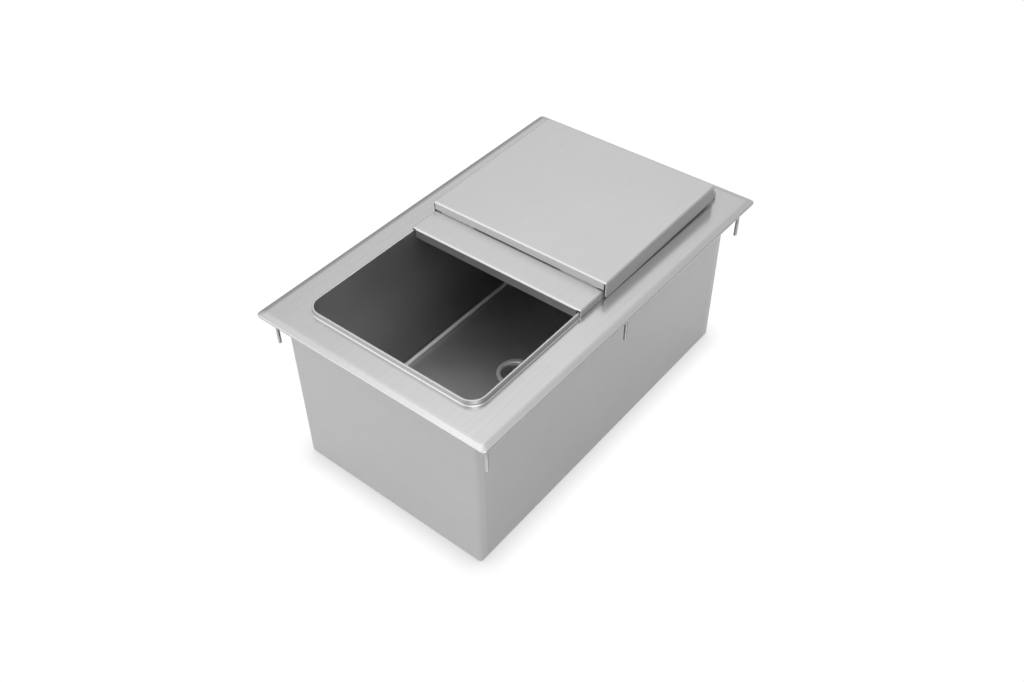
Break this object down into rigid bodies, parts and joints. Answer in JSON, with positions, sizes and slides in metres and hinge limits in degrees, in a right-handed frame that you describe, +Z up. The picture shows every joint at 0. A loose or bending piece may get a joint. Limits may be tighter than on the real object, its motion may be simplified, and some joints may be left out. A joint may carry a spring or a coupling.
{
  "type": "ice bin",
  "caption": "Insulated drop-in ice bin: flanged stainless casing, coved tub with a floor drain, lift-off rear cover and a lid that slides over it.",
  "frame": {"origin": "middle of the underside, where the bin stands", "axes": "+X across the bin, +Y from the scoop end to the covered end, +Z up"},
  "size_m": [0.3864, 0.61, 0.2937],
  "materials": {
    "stainless": "satin",
    "drain_steel": "polished",
    "stud_steel": "threaded",
    "rivet_steel": "plain",
    "foam": "rigid foam",
    "rubber": "matt",
    "nylon": "matt"
  },
  "bodies": {
    "bin": {"deck_flange": "stainless", "liner_tub": "stainless", "casing_front": "stainless", "casing_rear": "stainless", "casing_left": "stainless", "casing_right": "stainless", "rear_panel": "stainless", "rear_panel_rivets": "rivet_steel", "bottom_pan": "stainless", "bottom_pan_rivets": "rivet_steel", "insulation_left": "foam", "insulation_right": "foam", "insulation_front": "foam", "insulation_rear": "foam", "insulation_floor": "foam", "mounting_studs": "stud_steel", "drain_body": "drain_steel", "drain_gasket": "rubber", "drain_washer": "drain_steel", "drain_locknut": "drain_steel", "drain_outlet": "drain_steel", "outlet_grommet": "rubber"},
    "cover": {"rear_cover": "stainless", "cover_stiffener_left": "stainless", "cover_stiffener_right": "stainless", "cover_pads": "nylon", "cover_bumpers": "rubber"},
    "lid": {"sliding_lid": "stainless", "lid_stiffener_left": "stainless", "lid_stiffener_right": "stainless", "lid_front_glides": "nylon", "lid_rear_glides": "nylon", "lid_glide_rivets": "rivet_steel"},
    "strainer": {"drain_strainer": "drain_steel"}
  },
  "joints": [
    {"name": "cover_lift", "type": "slide", "parent": "bin", "child": "cover", "axis": [0, 0, 1], "range_m": [0, 0.15]},
    {"name": "lid_slide", "type": "slide", "parent": "cover", "child": "lid", "axis": [0, -1, 0], "range_m": [0, 0.2627]},
    {"name": "strainer_lift", "type": "slide", "parent": "bin", "child": "strainer", "axis": [0, 0, 1], "range_m": [0, 0.1]}
  ]
}
